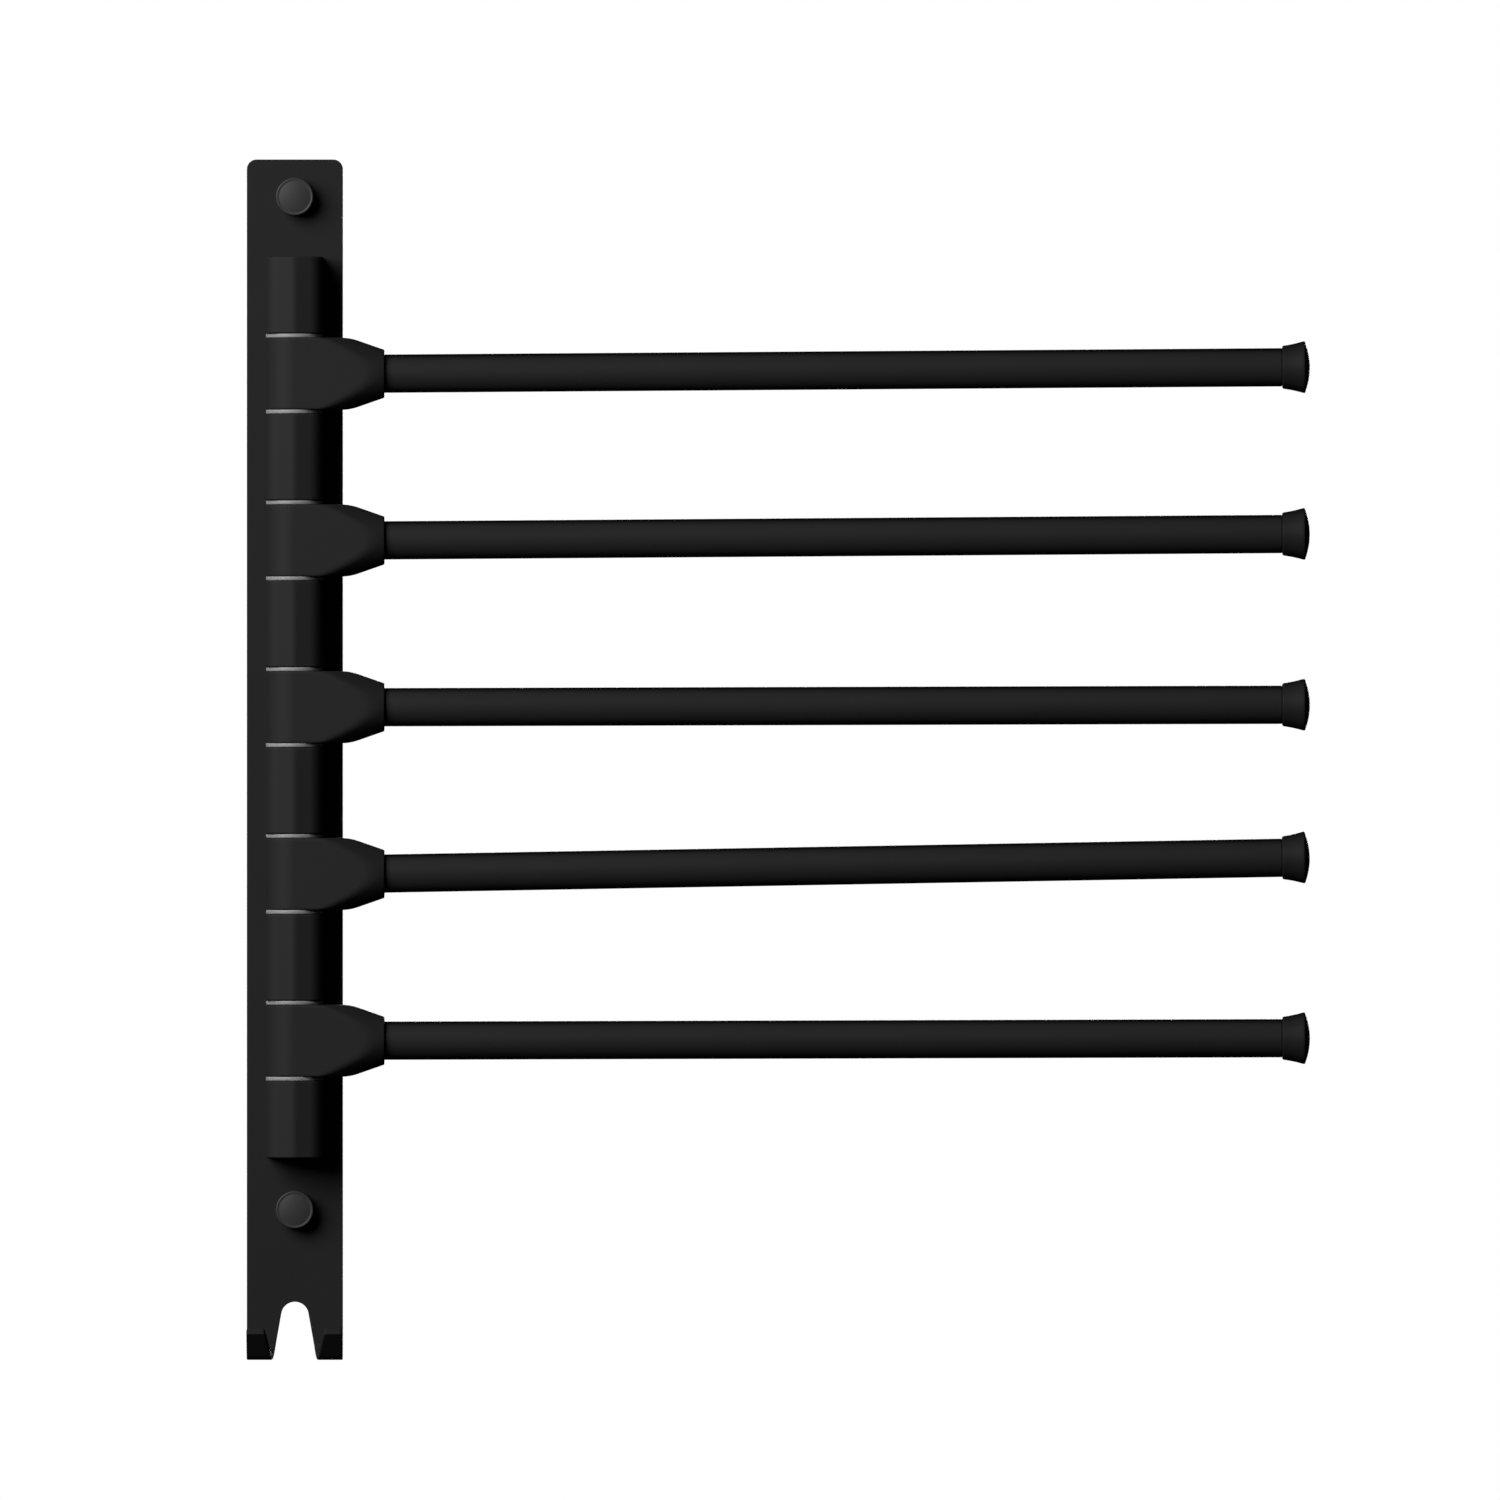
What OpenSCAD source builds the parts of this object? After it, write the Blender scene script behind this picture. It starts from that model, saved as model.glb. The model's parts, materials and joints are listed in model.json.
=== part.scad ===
// Wall-mounted towel rack: five bars that swivel one above the other on a
// steel rod. The rod is held in a column of blocks screwed to a back plate,
// whose lower end is cut and bent into two small hooks.
//
// Millimetres. +X lies along the bars at rest, -Y points out from the wall,
// +Z is up. The origin is midway between the two wall holes, on the face
// that touches the wall.

/* [Back plate] */
// Height of the back plate
plate_h = 375; // [310:1:460]
// Width of the back plate
plate_w = 30; // [24:0.5:40]
// Thickness of the back plate
plate_t = 2.5; // [2:0.1:4]
// Radius of the two upper corners
plate_corner_r = 3; // [1:0.5:8]

/* [Wall fixing] */
// Upper wall hole, measured down from the top of the plate
upper_hole_drop = 11.7; // [9:0.1:15]
// Lower wall hole, measured up from the bottom of the plate
lower_hole_rise = 46.9; // [42:0.1:50]
// Diameter of the two wall holes
wall_hole_d = 5; // [4:0.1:6]
// Diameter of the round covers over the wall screws
cover_d = 11.8; // [11:0.1:16]
// How far the covers stand out from the plate
cover_h = 6; // [4:0.1:8]
// Thickness of the covers' rims and faces
cover_wall = 1; // [0.6:0.1:1.4]
// Width of the chamfer round each cover's face
cover_chamfer = 0.5; // [0.2:0.1:0.6]
// Thickness of the ring that each cover snaps onto
seat_t = 1.4; // [1:0.1:2.5]
// How much wider the ring's hole is than the wall hole
seat_hole_margin = 0.6; // [0.4:0.1:1]

/* [Hooks] */
// Height of the notch between the hooks
notch_h = 18.1; // [14:0.1:24]
// Width of the notch at its round top
notch_top_w = 8.6; // [6:0.1:10]
// Width of the notch at the bottom of the plate
notch_bottom_w = 13.6; // [11:0.1:16]
// Inside radius of the hooks' bend
hook_r = 3; // [2:0.1:4]
// Angle through which the hooks are bent
hook_turn = 134; // [110:1:165]
// Straight length after the bend
hook_leg = 9.8; // [4:0.1:14]

/* [Column] */
// Width of the blocks and spacers that carry the rod
block_w = 18; // [15:0.5:24]
// Slope of a block's two front faces, which meet in front of the rod
block_slope = 14; // [4:1:25]
// Radius of the rounded ridge between them
block_ridge_r = 4; // [1:0.5:6]
// Radius of a block's front corners
block_corner_r = 5.5; // [3:0.5:7]
// Height of the top and bottom blocks
end_block_h = 24; // [18:0.5:30]
// From the top of the plate down to the top block
column_drop = 30.5; // [22:0.5:40]
// From the bottom of the plate up to the bottom block
column_rise = 63.2; // [56:0.1:80]
// Gap between a turning hub's back and the plate
swing_gap = 0.7; // [0.4:0.1:2]
// Diameter of the pivot rod
rod_d = 6; // [4:0.1:7.5]
// Depth of the rod's blind hole in each end block
rod_seat = 18; // [8:0.5:20]

/* [Hubs and bushes] */
// Height of a hub
hub_h = 22.5; // [20:0.1:27]
// Width of a hub, from its front face to its back
hub_w = 17.6; // [15:0.1:22]
// From the rod's axis to the end of the hub's nose
hub_reach = 28.1; // [24:0.1:36]
// Slope of the nose, from the bar's axis
hub_taper = 19.3; // [12:0.1:30]
// Wall of the nose round the bar
nose_wall = 1.5; // [1:0.1:2.2]
// Metal between the pivot bore and the bar's socket
socket_web = 7.6; // [4:0.1:9]
// Diameter of a bush's flange
flange_d = 17.8; // [14:0.1:22]
// Thickness of a bush's flange
flange_t = 1.2; // [0.8:0.1:2]
// Wall of a bush's sleeve
bush_wall = 1.45; // [1:0.05:2]
// Length of a bush's sleeve
bush_l = 8; // [5:0.1:10]

/* [Bars] */
// From the rod's axis to the tip of the end cap
arm_reach = 317; // [200:1:420]
// Outside diameter of a bar
bar_d = 12; // [10:0.1:14.5]
// Wall of a bar
bar_wall = 1; // [0.8:0.1:1.5]
// Upward tilt of the first bar in its socket, in degrees
bar_1_tilt = 0.4; // [0:0.05:1.5]
// Upward tilt of the second bar
bar_2_tilt = 0.4; // [0:0.05:1.5]
// Upward tilt of the third bar
bar_3_tilt = 0.15; // [0:0.05:1.5]
// Upward tilt of the fourth bar
bar_4_tilt = 1; // [0:0.05:1.5]
// Upward tilt of the fifth bar
bar_5_tilt = 0.15; // [0:0.05:1.5]

/* [End caps] */
// Length of a cap's collar and flare
cap_l = 7.1; // [4:0.1:10]
// Height of the dome on a cap
cap_dome = 1.6; // [1:0.1:4]
// How far the collar stands out from the bar
cap_step = 0.8; // [0.4:0.1:1.5]
// How far the flare stands out from the collar
cap_flare = 1.3; // [0.5:0.1:2.5]
// Chamfer between the bar and the collar
cap_chamfer = 0.7; // [0.2:0.1:1]
// Length of the plug inside the bar
plug_l = 12; // [6:0.5:20]

/* [Screws] */
// Diameter of the screws that hold the blocks
screw_d = 4; // [3:0.1:5]
// Diameter of their countersunk heads
screw_head_d = 8; // [6.5:0.1:9]
// Hexagon socket in a head, across its corners
hex_d = 2.9; // [2:0.1:3]
// Depth of the hexagon socket
hex_depth = 1.3; // [0.8:0.1:1.6]
// Distance between the two screws of an end block
end_screw_pitch = 13; // [10:0.5:18]
// Metal between a screw's tip and the rod's bore
screw_web = 0.8; // [0.4:0.1:2]

/* [Clearances] */
// Radial running clearance between the rod and a bush
bush_clear = 0.05; // [0.02:0.01:0.1]
// Radial clearance between the rod and a spacer
spacer_clear = 0.05; // [0.02:0.01:0.2]
// Gap between a bush's flange and the block next to it
flange_clear = 0.1; // [0.05:0.01:0.3]
// Radial clearance of a screw in the plate
screw_clear = 0.2; // [0.1:0.05:0.4]
// How far a screw's head lies below the back of the plate
head_recess = 0.1; // [0:0.05:0.3]

/* [Hidden] */
$fn = 64;
eps = 0.5;                       // how far a cutting shape overshoots

arm_count = 5;
bar_tilt = [bar_1_tilt, bar_2_tilt, bar_3_tilt, bar_4_tilt, bar_5_tilt];

// heights along the plate
hole_span = plate_h - upper_hole_drop - lower_hole_rise;
plate_top = hole_span / 2 + upper_hole_drop;
plate_bottom = -hole_span / 2 - lower_hole_rise;
column_top = plate_top - column_drop;
column_bottom = plate_bottom + column_rise;

// the column: blocks and spacers with a hub and its two flanges in each gap
bay_h = hub_h + 2 * (flange_t + flange_clear);
spacer_h = (column_top - column_bottom - 2 * end_block_h - arm_count * bay_h)
    / (arm_count - 1);
pitch = bay_h + spacer_h;
function hub_z(i) = column_top - end_block_h - bay_h / 2 - (i - 1) * pitch;
function spacer_z(i) = hub_z(i) - (bay_h + spacer_h) / 2;
top_block_z = column_top - end_block_h / 2;
bottom_block_z = column_bottom + end_block_h / 2;

// depths from the wall
rod_y = -(plate_t + swing_gap + hub_w / 2);
rod_r = rod_d / 2;
screw_r = screw_d / 2;
screw_tip_y = rod_y + rod_r + spacer_clear + screw_web;
screw_heights = concat(
    [for (z = [top_block_z, bottom_block_z], side = [-1, 1])
        z + side * end_screw_pitch / 2],
    [for (i = [1:arm_count - 1]) spacer_z(i)]);

// hooks
bend_z = plate_bottom + hook_r + plate_t;
notch_round_z = plate_bottom + notch_h - notch_top_w / 2;
notch_span = norm([notch_bottom_w / 2, notch_round_z - plate_bottom]);
notch_taper = acos(notch_top_w / 2 / notch_span)
    - atan2(notch_round_z - plate_bottom, notch_bottom_w / 2);
function notch_half(z) = notch_bottom_w / 2 - (z - plate_bottom) * tan(notch_taper);
bend_w = plate_w / 2 - notch_half(bend_z);
function bent_w(turn) = bend_w
    - (hook_r + plate_t / 2) * turn * PI / 180 * tan(notch_taper);
leg_w = bent_w(hook_turn);
leg_tip_w = leg_w - hook_leg * tan(notch_taper);
leg_lap = 0.2;                   // the leg starts this far inside the bend,
leg_inset = 0.01;                // with its faces this far inside the bend's

// hubs, bushes and bars, each along its own arm from the rod's axis
bush_r = rod_r + bush_clear + bush_wall;
bar_r = bar_d / 2;
bore_r = bar_r - bar_wall;
nose_r = bar_r + nose_wall;
nose_chamfer = 0.4;
socket_x = bush_r + socket_web;
tilt_x = (socket_x + hub_reach) / 2;
cap_x = arm_reach - cap_dome - cap_l;
collar_r = bar_r + cap_step;
cap_r = collar_r + cap_flare;

// covers
cover_r = cover_d / 2;
seat_r = cover_r - cover_wall;
seat_hole_r = (wall_hole_d + seat_hole_margin) / 2;

black = "#242426";
steel = "#b8babd";
nylon = "#a4a6a8";
rubber = "#1b1b1c";

function numbered(name, count) = [for (i = [1:count]) str(name, "_", i)];

// A shape drawn upright in X and Z, extruded from the wall's face outwards
module upright(depth) {
    rotate([90, 0, 0]) linear_extrude(depth) children();
}

// A rod along Y, from one depth to another that is nearer the wall
module peg(r, from_y, to_y) {
    translate([0, to_y, 0]) rotate([90, 0, 0]) cylinder(r = r, h = to_y - from_y);
}

// Outline of the flat part of the plate, down to where the hooks bend
module plate_outline() {
    half = plate_w / 2;
    r = plate_corner_r;
    translate([-half, bend_z]) square([plate_w, plate_top - r - bend_z]);
    translate([r - half, plate_top - 2 * r]) square([plate_w - 2 * r, 2 * r]);
    for (side = [-1, 1])
        translate([side * (half - r), plate_top - r]) circle(r = r);
}

// Outline of the notch: a round top with sides that spread downwards
module notch_outline() {
    r = notch_top_w / 2;
    x_touch = r * cos(notch_taper);
    z_touch = notch_round_z + r * sin(notch_taper);
    end_z = plate_bottom - eps;
    translate([0, notch_round_z]) circle(r = r);
    polygon([
        [-x_touch, z_touch], [x_touch, z_touch],
        [notch_half(end_z), end_z], [-notch_half(end_z), end_z]]);
}

// Places what is drawn round +Z at the bend of the hook on the +X side
module at_bend() {
    translate([plate_w / 2, -plate_t - hook_r, bend_z])
        rotate([0, -90, 0]) rotate([0, 0, 90]) children();
}

module hook_bend() {
    at_bend() rotate_extrude(angle = hook_turn)
        translate([hook_r, 0]) square([plate_t, bend_w]);
}

// What is cut off the bends past their lowest point, where they are narrower
module bend_trim() {
    half = plate_w / 2 - bent_w(90);
    depth = hook_r + plate_t;
    translate([-half, -2 * depth, plate_bottom - eps])
        cube([2 * half, depth, 2 * depth]);
}

// The straight end of a hook, which narrows to its tip
module hook_leg() {
    wide = leg_w - leg_inset;
    at_bend() rotate([0, 0, hook_turn]) translate([hook_r + leg_inset, 0, 0])
        rotate([90, 0, 90]) linear_extrude(plate_t - 2 * leg_inset) polygon([
            [-leg_lap, leg_inset], [hook_leg, leg_inset],
            [hook_leg, leg_tip_w], [0, wide], [-leg_lap, wide]]);
}

module screw_shape(r, head_r, tip_y, head_y) {
    cone = head_r - r;
    peg(r, tip_y, head_y - cone / 2);
    translate([0, head_y - cone, 0]) rotate([-90, 0, 0])
        cylinder(r1 = r, r2 = head_r, h = cone);
}

module back_plate() {
    hole_r = wall_hole_d / 2;
    color(black) difference() {
        union() {
            difference() {
                union() {
                    upright(plate_t) plate_outline();
                    hook_bend();
                    mirror([1, 0, 0]) hook_bend();
                }
                translate([0, eps, 0])
                    upright(2 * (hook_r + plate_t)) notch_outline();
                bend_trim();
            }
            hook_leg();
            mirror([1, 0, 0]) hook_leg();
        }
        for (side = [-1, 1]) translate([0, 0, side * hole_span / 2])
            peg(hole_r, -plate_t - eps, eps);
        for (z = screw_heights) translate([0, 0, z]) {
            screw_shape(screw_r + screw_clear, screw_head_d / 2,
                -plate_t - eps, -head_recess);
            peg(screw_head_d / 2, -head_recess, eps);
        }
    }
}

// Section of a block: two sloping front faces with a rounded ridge and
// rounded corners, and a flat back on the plate
module block_section() {
    r = block_w / 2;
    side_x = r - block_corner_r;
    ridge_y = rod_y - r + block_ridge_r;
    corner_y = ridge_y + (block_corner_r - block_ridge_r
        + side_x * sin(block_slope)) / cos(block_slope);
    lean = [sin(block_slope), -cos(block_slope)];
    half = [
        [r, -plate_t], [r, corner_y],
        [side_x, corner_y] + block_corner_r * lean,
        [0, ridge_y] + block_ridge_r * lean];
    polygon(concat([for (p = half) [-p.x, p.y]], [for (k = [3:-1:0]) half[k]]));
    translate([0, ridge_y]) circle(r = block_ridge_r);
    for (side = [-1, 1]) translate([side * side_x, corner_y]) circle(r = block_corner_r);
}

module rod_hole(r, from_z, to_z) {
    translate([0, rod_y, from_z]) cylinder(r = r, h = to_z - from_z);
}

module tapped_holes(centre_z, pitches) {
    for (offset = pitches) translate([0, 0, centre_z + offset])
        peg(screw_r, screw_tip_y, eps);
}

module end_block(centre_z, hole_from, hole_to) {
    color(black) difference() {
        translate([0, 0, centre_z - end_block_h / 2])
            linear_extrude(end_block_h) block_section();
        rod_hole(rod_r, hole_from, hole_to);
        tapped_holes(centre_z, [-end_screw_pitch / 2, end_screw_pitch / 2]);
    }
}

module top_block() {
    base = column_top - end_block_h;
    end_block(top_block_z, base - eps, base + rod_seat);
}

module bottom_block() {
    head = column_bottom + end_block_h;
    end_block(bottom_block_z, head - rod_seat, head + eps);
}

module spacer(i) {
    z = spacer_z(i);
    color(black) difference() {
        translate([0, 0, z - spacer_h / 2])
            linear_extrude(spacer_h) block_section();
        rod_hole(rod_r + spacer_clear, z - spacer_h / 2 - eps, z + spacer_h / 2 + eps);
        tapped_holes(z, [0]);
    }
}

module pivot_rod() {
    color(steel) rod_hole(rod_r,
        column_bottom + end_block_h - rod_seat,
        column_top - end_block_h + rod_seat);
}

module block_screws() {
    color(steel) for (z = screw_heights) translate([0, 0, z]) difference() {
        screw_shape(screw_r, screw_head_d / 2, screw_tip_y, -head_recess);
        translate([0, -head_recess - hex_depth, 0]) rotate([-90, 0, 0])
            cylinder(d = hex_d, h = hex_depth + eps, $fn = 6);
    }
}

// Places what is drawn along +X from the rod's axis at the height of arm i
module at_arm(i) {
    translate([0, rod_y, hub_z(i)]) children();
}

// Tilts what is drawn along +X about the middle of the hub's socket
module tilted(i) {
    translate([tilt_x, 0, 0]) rotate([0, -bar_tilt[i - 1], 0])
        translate([-tilt_x, 0, 0]) children();
}

// Turns what is drawn along +Z to lie along +X
module along_arm(x) {
    translate([x, 0, 0]) rotate([0, 90, 0]) children();
}

module hub_section() {
    r = hub_w / 2;
    circle(r = r);
    translate([0, -r]) square([hub_reach, hub_w]);
}

// The round envelope that shapes the hub's nose
module nose_cone() {
    back_x = -hub_w;
    back_r = nose_r + (hub_reach - back_x) * tan(hub_taper);
    along_arm(back_x) rotate_extrude() polygon([
        [0, 0], [back_r, 0],
        [nose_r, hub_reach - back_x - nose_chamfer],
        [nose_r - nose_chamfer, hub_reach - back_x],
        [0, hub_reach - back_x]]);
}

module hub(i) {
    color(black) at_arm(i) difference() {
        intersection() {
            translate([0, 0, -hub_h / 2]) linear_extrude(hub_h) hub_section();
            nose_cone();
        }
        translate([0, 0, -hub_h / 2 - eps]) cylinder(r = bush_r, h = hub_h + 2 * eps);
        tilted(i) along_arm(socket_x)
            cylinder(r = bar_r, h = hub_reach - socket_x + 2 * eps);
    }
}

// A flanged bush with its flange on the hub's upper face
module bush() {
    translate([0, 0, hub_h / 2 - bush_l]) difference() {
        union() {
            cylinder(r = bush_r, h = bush_l);
            translate([0, 0, bush_l]) cylinder(d = flange_d, h = flange_t);
        }
        translate([0, 0, -eps])
            cylinder(r = rod_r + bush_clear, h = bush_l + flange_t + 2 * eps);
    }
}

module upper_bush(i) {
    color(nylon) at_arm(i) bush();
}

module lower_bush(i) {
    color(nylon) at_arm(i) mirror([0, 0, 1]) bush();
}

module bar(i) {
    color(black) at_arm(i) tilted(i) along_arm(socket_x) difference() {
        cylinder(r = bar_r, h = cap_x - socket_x);
        translate([0, 0, -eps]) cylinder(r = bore_r, h = cap_x - socket_x + 2 * eps);
    }
}

// Half section of an end cap, from its plug in the bar to its domed face
module cap_section() {
    dome_r = (cap_r * cap_r + cap_dome * cap_dome) / (2 * cap_dome);
    translate([0, -plug_l]) square([bore_r, plug_l]);
    polygon([
        [0, 0], [collar_r - cap_chamfer, 0], [collar_r, cap_chamfer],
        [cap_r, cap_l], [0, cap_l]]);
    intersection() {
        translate([0, cap_l + cap_dome - dome_r]) circle(r = dome_r);
        translate([0, cap_l]) square([cap_r, cap_dome + eps]);
    }
}

module end_cap(i) {
    color(rubber) at_arm(i) tilted(i) along_arm(cap_x)
        rotate_extrude() cap_section();
}

// Places what is drawn towards -Y on the front of the plate at a wall hole
module at_hole(side) {
    translate([0, -plate_t, side * hole_span / 2]) rotate([90, 0, 0]) children();
}

module cover_seat(side) {
    color(steel) at_hole(side) difference() {
        cylinder(r = seat_r, h = seat_t);
        translate([0, 0, -eps]) cylinder(r = seat_hole_r, h = seat_t + 2 * eps);
    }
}

module screw_cover(side) {
    color(black) at_hole(side) rotate_extrude() polygon([
        [seat_r, 0], [cover_r, 0],
        [cover_r, cover_h - cover_chamfer], [cover_r - cover_chamfer, cover_h],
        [0, cover_h], [0, cover_h - cover_wall], [seat_r, cover_h - cover_wall]]);
}

back_plate();
top_block();
bottom_block();
pivot_rod();
block_screws();
for (i = [1:arm_count - 1])
    spacer(i);
for (i = [1:arm_count])
    hub(i);
for (i = [1:arm_count])
    upper_bush(i);
for (i = [1:arm_count])
    lower_bush(i);
for (i = [1:arm_count])
    bar(i);
for (i = [1:arm_count])
    end_cap(i);
cover_seat(1);  // cover_seat_upper
cover_seat(-1);  // cover_seat_lower
screw_cover(1);  // screw_cover_upper
screw_cover(-1);  // screw_cover_lower
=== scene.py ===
import json
from math import acos, asin, atan2, cos, hypot, pi, radians, sin, tan

import bmesh
import bpy
from bpy.props import FloatProperty, FloatVectorProperty, PointerProperty
from mathutils import Matrix, Vector


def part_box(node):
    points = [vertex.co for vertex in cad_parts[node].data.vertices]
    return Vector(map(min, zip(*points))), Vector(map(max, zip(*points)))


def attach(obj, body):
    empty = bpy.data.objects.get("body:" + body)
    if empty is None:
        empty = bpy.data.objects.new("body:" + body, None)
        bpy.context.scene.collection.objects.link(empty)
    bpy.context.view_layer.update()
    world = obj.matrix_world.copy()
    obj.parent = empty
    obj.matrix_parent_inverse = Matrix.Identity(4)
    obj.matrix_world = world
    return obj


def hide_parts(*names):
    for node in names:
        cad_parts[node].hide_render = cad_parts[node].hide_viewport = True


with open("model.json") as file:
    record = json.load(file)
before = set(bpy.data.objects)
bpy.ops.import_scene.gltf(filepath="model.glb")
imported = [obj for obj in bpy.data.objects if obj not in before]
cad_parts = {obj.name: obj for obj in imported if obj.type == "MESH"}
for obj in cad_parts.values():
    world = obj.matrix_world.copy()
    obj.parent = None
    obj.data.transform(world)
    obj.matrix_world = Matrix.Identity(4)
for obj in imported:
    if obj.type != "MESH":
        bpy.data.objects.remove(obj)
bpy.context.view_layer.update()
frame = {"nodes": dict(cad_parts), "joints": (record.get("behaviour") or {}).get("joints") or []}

bl_info = {
    "name": "Swivel Towel Rack",
    "version": (1, 0, 0),
    "blender": (4, 5, 0),
    "location": "View3D > Sidebar > Towel Rack",
    "description": "Builds a wall-mounted towel rack with swivelling bars",
    "category": "Add Mesh",
}

MM = 0.001
ROUND = 96                 # sides of a turned piece
FINE = 48                  # sides of a small hole or screw
SHARP = radians(38)        # edges that turn more than this are shaded sharp
WELD = 0.002 * MM          # points closer than this become one
ALONG = 0.99               # cosine above which two directions count as the same
END_AREA = 20 * MM * MM    # a prism's end is larger than this
Z_TO_FRONT = Matrix.Rotation(pi / 2, 4, "X")


# ---------------------------------------------------------------- the frame

def middle(node):
    """The middle of a CAD node's box."""
    low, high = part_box(node)
    return (low + high) / 2


def half_size(node):
    """Half the size of a CAD node's box."""
    low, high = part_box(node)
    return (high - low) / 2


def numbered(name):
    """The CAD nodes called name_1, name_2 and so on, in order."""
    found = [n for n in frame["nodes"] if n.startswith(name + "_")]
    return sorted(found, key=lambda n: int(n.rsplit("_", 1)[1]))


HUBS = numbered("hub")
ARMS = range(1, len(HUBS) + 1)
PIVOTS = {
    joint["child"]: Vector(joint["pos_m"]) for joint in frame["joints"]
}
ROD_RADIUS = half_size("pivot_rod").x
SLEEVE_WALL = 1.5 * MM                 # wall of a bush's sleeve
BUSH_RADIUS = ROD_RADIUS + SLEEVE_WALL
HEAD_RECESS = 0.1 * MM                 # screw heads below the plate's back
PLATE_LOW, PLATE_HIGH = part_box("back_plate")
PLATE_T = -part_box("top_block")[1].y


def arm_axis(i):
    """The middle of arm i's bar, its tilt, its length and its radius.

    A tilted tube's box is wider than the tube by its round ends, so the tilt is
    found in a few rounds, each from the one before.
    """
    low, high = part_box(f"bar_{i}")
    size = high - low
    tilt = 0
    for _ in range(6):
        tilt = atan2(size.z - size.y * cos(tilt), size.x - size.y * sin(tilt))
    length = (size.x - size.y * sin(tilt)) / cos(tilt)
    return (low + high) / 2, tilt, length, size.y / 2


def along_bar(i, start):
    """The matrix that turns Z along arm i's bar, from a place on its axis."""
    centre, tilt, _, _ = arm_axis(i)
    return (Matrix.Translation(centre) @ Matrix.Rotation(pi / 2 - tilt, 4, "Y")
            @ Matrix.Translation((0, 0, start)))


def millimetres(name, description, default, low, high):
    """A length property whose default and limits are given in millimetres."""
    return FloatProperty(
        name=name, description=description, default=default * MM,
        min=low * MM, max=high * MM, precision=4,
        subtype="DISTANCE", unit="LENGTH")


def colour(name, description, default):
    """A colour property."""
    return FloatVectorProperty(
        name=name, description=description, default=default,
        size=3, min=0, max=1, subtype="COLOR")


class RackSizes(bpy.types.PropertyGroup):
    """Sizes of the details that the CAD frame leaves to the surface model"""

    edge_break: millimetres(
        "Edge break", "Rounding of the back plate's cut edges", 0.35, 0.1, 0.8)
    corner: millimetres(
        "Corner radius", "Radius of the plate's upper corners", 3, 1, 8)
    notch_height: millimetres(
        "Notch height", "Height of the notch between the hooks", 18.1, 14, 24)
    notch_top: millimetres(
        "Notch top width", "Width of the notch's round top", 8.6, 6, 10)
    notch_bottom: millimetres(
        "Notch bottom width", "Width of the notch at the plate's foot", 13.6, 11, 16)
    hook_radius: millimetres(
        "Hook radius", "Inside radius of the hooks' bend", 3, 2, 4)
    hook_leg: millimetres(
        "Hook leg", "Straight length after the bend", 9.8, 4, 14)
    hook_turn: FloatProperty(
        name="Hook turn", description="Angle through which the hooks are bent",
        default=radians(134), min=radians(110), max=radians(165),
        subtype="ANGLE", unit="ROTATION")
    wall_hole: millimetres(
        "Wall hole", "Diameter of the two wall holes", 5, 4, 6)
    block_edge: millimetres(
        "Block edge", "Rounding of the blocks' ends", 0.5, 0.1, 1)
    block_slope: FloatProperty(
        name="Block slope", description="Slope of a block's two front faces",
        default=radians(14), min=radians(4), max=radians(25),
        subtype="ANGLE", unit="ROTATION")
    block_ridge: millimetres(
        "Block ridge", "Radius of the ridge between them", 4, 1, 6)
    block_corner: millimetres(
        "Block corner", "Radius of a block's front corners", 5.5, 3, 7)
    hub_edge: millimetres(
        "Hub edge", "Rounding where a hub's faces meet", 0.7, 0.2, 1.5)
    cone_blend: millimetres(
        "Cone blend", "Rounding where a hub's nose meets its flat faces", 0.9, 0.2, 2)
    nose_slope: FloatProperty(
        name="Nose slope", description="Slope of a hub's nose from the bar's axis",
        default=radians(19.3), min=radians(12), max=radians(30),
        subtype="ANGLE", unit="ROTATION")
    nose_wall: millimetres(
        "Nose wall", "Wall of the nose round the bar", 1.5, 1, 2.2)
    bar_wall: millimetres("Bar wall", "Wall of a bar's tube", 1, 0.8, 1.5)
    cap_step: millimetres(
        "Cap step", "How far a cap's collar stands out from the bar", 0.8, 0.4, 1.5)
    cap_chamfer: millimetres(
        "Cap chamfer", "Chamfer between the bar and a cap's collar", 0.7, 0.2, 1)
    cap_flare_length: millimetres(
        "Cap length", "From the bar's end to the edge of the cap's dome", 7.1, 4, 10)
    cap_dome: millimetres(
        "Cap dome", "Height of the dome on a cap", 1.6, 1, 4)
    plug: millimetres("Plug", "Length of a cap's plug in the bar", 12, 6, 20)
    flange: millimetres("Flange", "Thickness of a bush's flange", 1.2, 0.8, 2)
    cover_wall: millimetres(
        "Cover wall", "Wall of a screw cover", 1, 0.6, 1.4)
    cover_chamfer: millimetres(
        "Cover rim", "Radius of the rim round a screw cover's face", 0.45, 0.2, 0.7)
    cover_dome: millimetres(
        "Cover dome", "Height of the dome inside the rim", 0.5, 0.1, 0.7)
    screw: millimetres("Screw", "Diameter of the block screws", 4, 3, 5)
    screw_head: millimetres("Screw head", "Diameter of their heads", 8, 6.5, 9)
    hex_socket: millimetres(
        "Hexagon socket", "Width of the heads' sockets across corners", 2.9, 2, 3)


class RackFinish(bpy.types.PropertyGroup):
    """Colours of the finishes"""

    plate: colour("Plate", "Powder coat of the back plate", (0.0165, 0.0165, 0.017))
    column: colour("Column", "Blocks, spacers and hubs", (0.0188, 0.0188, 0.0193))
    bars: colour("Bars", "Powder coat of the bars", (0.0205, 0.0205, 0.021))
    caps: colour("End caps", "Moulded end caps", (0.0145, 0.0145, 0.0148))
    covers: colour("Covers", "Screw covers", (0.036, 0.036, 0.037))
    bushes: colour("Bushes", "Nylon bushes", (0.30, 0.30, 0.305))
    steel: colour("Steel", "Rod and screws", (0.42, 0.42, 0.43))


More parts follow.
